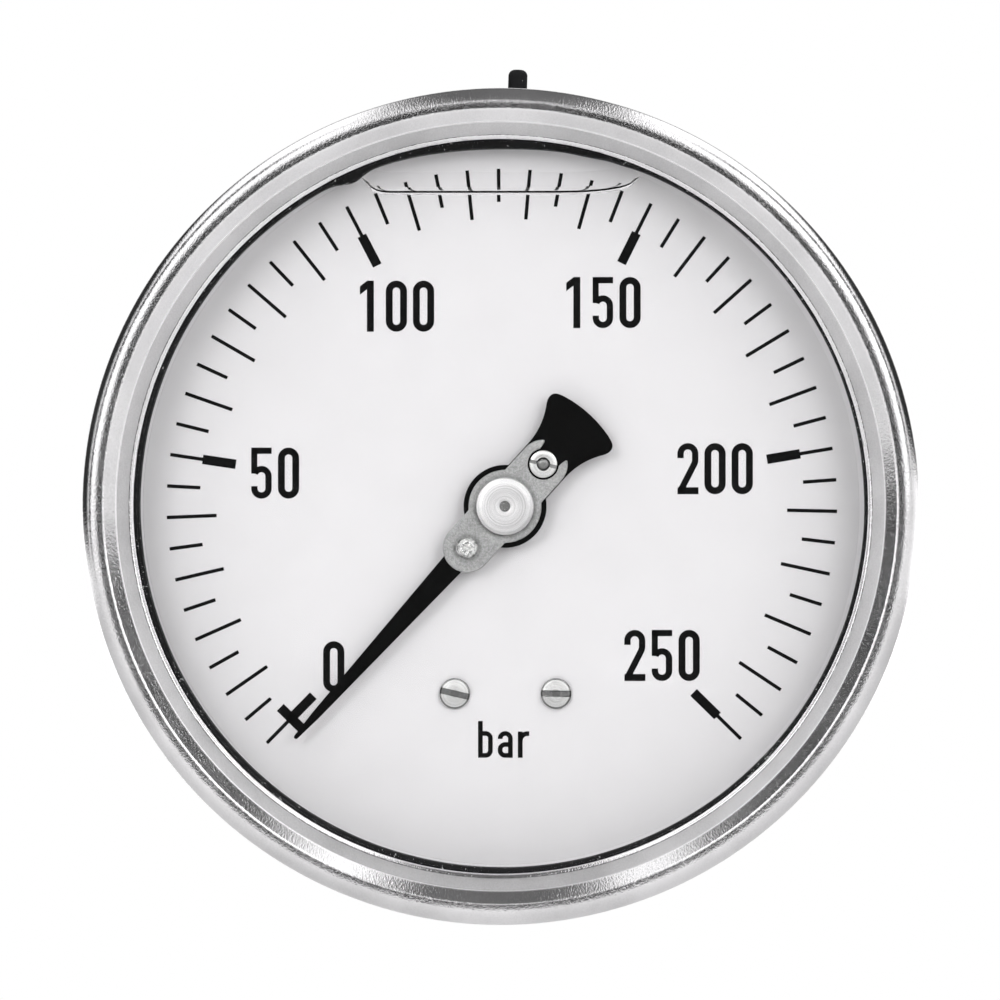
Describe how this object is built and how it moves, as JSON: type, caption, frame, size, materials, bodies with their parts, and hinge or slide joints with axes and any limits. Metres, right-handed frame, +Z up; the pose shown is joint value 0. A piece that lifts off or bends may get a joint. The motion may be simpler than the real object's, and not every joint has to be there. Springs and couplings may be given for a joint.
{
  "type": "pressure gauge",
  "caption": "Round liquid-filled Bourdon-tube pressure gauge with a crimped steel bezel, adjustable pointer and threaded lower back connection.",
  "frame": {"origin": "on the axis of the connection, where its thread starts", "axes": "+Y out along the thread, away from the dial, +Z up, the dial faces -Y"},
  "size_m": [0.107, 0.083, 0.1107],
  "materials": {
    "polished_steel": "rolled and polished, fine lengthwise grain",
    "case_steel": "satin drawn sheet",
    "socket_steel": "turned and milled",
    "clear_glass": "clear, flat",
    "filling": "clear liquid",
    "black_rubber": "matt black",
    "dial_white": "white lacquer with black print",
    "screw_steel": "turned, slotted",
    "pointer_black": "matt black lacquer",
    "pointer_silver": "stamped and turned",
    "brass": "stamped and turned",
    "tube_bronze": "drawn tube, dull",
    "spring_steel": "blued strip",
    "arbor_steel": "hardened and polished"
  },
  "bodies": {
    "case": {"case_shell": "case_steel", "bezel_ring": "polished_steel", "window_glass": "clear_glass", "window_gasket": "black_rubber", "filling_liquid": "filling", "vent_plug": "black_rubber", "dial_plate": "dial_white", "dial_screws": "screw_steel", "dial_standoffs": "brass", "pressure_socket": "socket_steel", "socket_seal": "black_rubber", "case_screws": "case_steel", "restrictor_screw": "screw_steel", "bourdon_tube": "tube_bronze", "movement_front_plate": "brass", "movement_back_plate": "brass", "movement_pillars": "brass", "plate_screws": "screw_steel", "hairspring": "spring_steel", "hairspring_stud": "brass"},
    "pointer": {"pinion_arbor": "arbor_steel", "hairspring_collet": "brass", "pointer_hub": "pointer_silver", "pointer_plate": "pointer_silver", "pointer_rivet": "pointer_silver"},
    "blade": {"pointer_blade": "pointer_black"},
    "trim": {"trim_screw": "screw_steel"},
    "sector": {"sector_gear": "brass", "sector_arbor": "arbor_steel", "sector_link_pin": "arbor_steel"},
    "link": {"link_bar": "brass"},
    "tube_tip": {"tube_end": "tube_bronze", "tube_end_pin": "arbor_steel"}
  },
  "joints": [
    {"name": "tube_tip_travel", "type": "slide", "parent": "case", "child": "tube_tip", "axis": [0.6018, 0, 0.7986], "range_m": [0, 0.00428], "stiffness_N_per_m": 400, "deforming": ["bourdon_tube"]},
    {"name": "sector_swing", "type": "hinge", "parent": "case", "child": "sector", "pos_m": [0.01739, -0.0424, 0.01425], "axis": [0, 1, 0], "range_deg": [-27.6, 0.1]},
    {"name": "link_swing", "type": "hinge", "parent": "sector", "child": "link", "pos_m": [0.02309, -0.0424, 0.00728], "axis": [0, 1, 0], "range_deg": [-0.1, 26.6]},
    {"name": "pointer_turn", "type": "hinge", "parent": "case", "child": "pointer", "pos_m": [0.0005, -0.0525, 0.03], "axis": [0, 1, 0], "range_deg": [0, 275], "deforming": ["hairspring"]},
    {"name": "pointer_trim", "type": "hinge", "parent": "pointer", "child": "blade", "pos_m": [-0.00437, -0.0525, 0.02463], "axis": [0, 1, 0], "range_deg": [-0.88, 0.88]},
    {"name": "trim_screw_turn", "type": "hinge", "parent": "blade", "child": "trim", "pos_m": [0.00561, -0.0525, 0.03563], "axis": [0, 1, 0], "range_deg": [-60.2, 60.2]}
  ],
  "couplings": [
    {"joint": "sector_swing", "follows": "tube_tip_travel", "rad_per_m": -112.14},
    {"joint": "link_swing", "follows": "tube_tip_travel", "rad_per_m": 107.94},
    {"joint": "pointer_turn", "follows": "tube_tip_travel", "rad_per_m": 1121.4},
    {"joint": "trim_screw_turn", "follows": "pointer_trim", "ratio": 68.493}
  ]
}
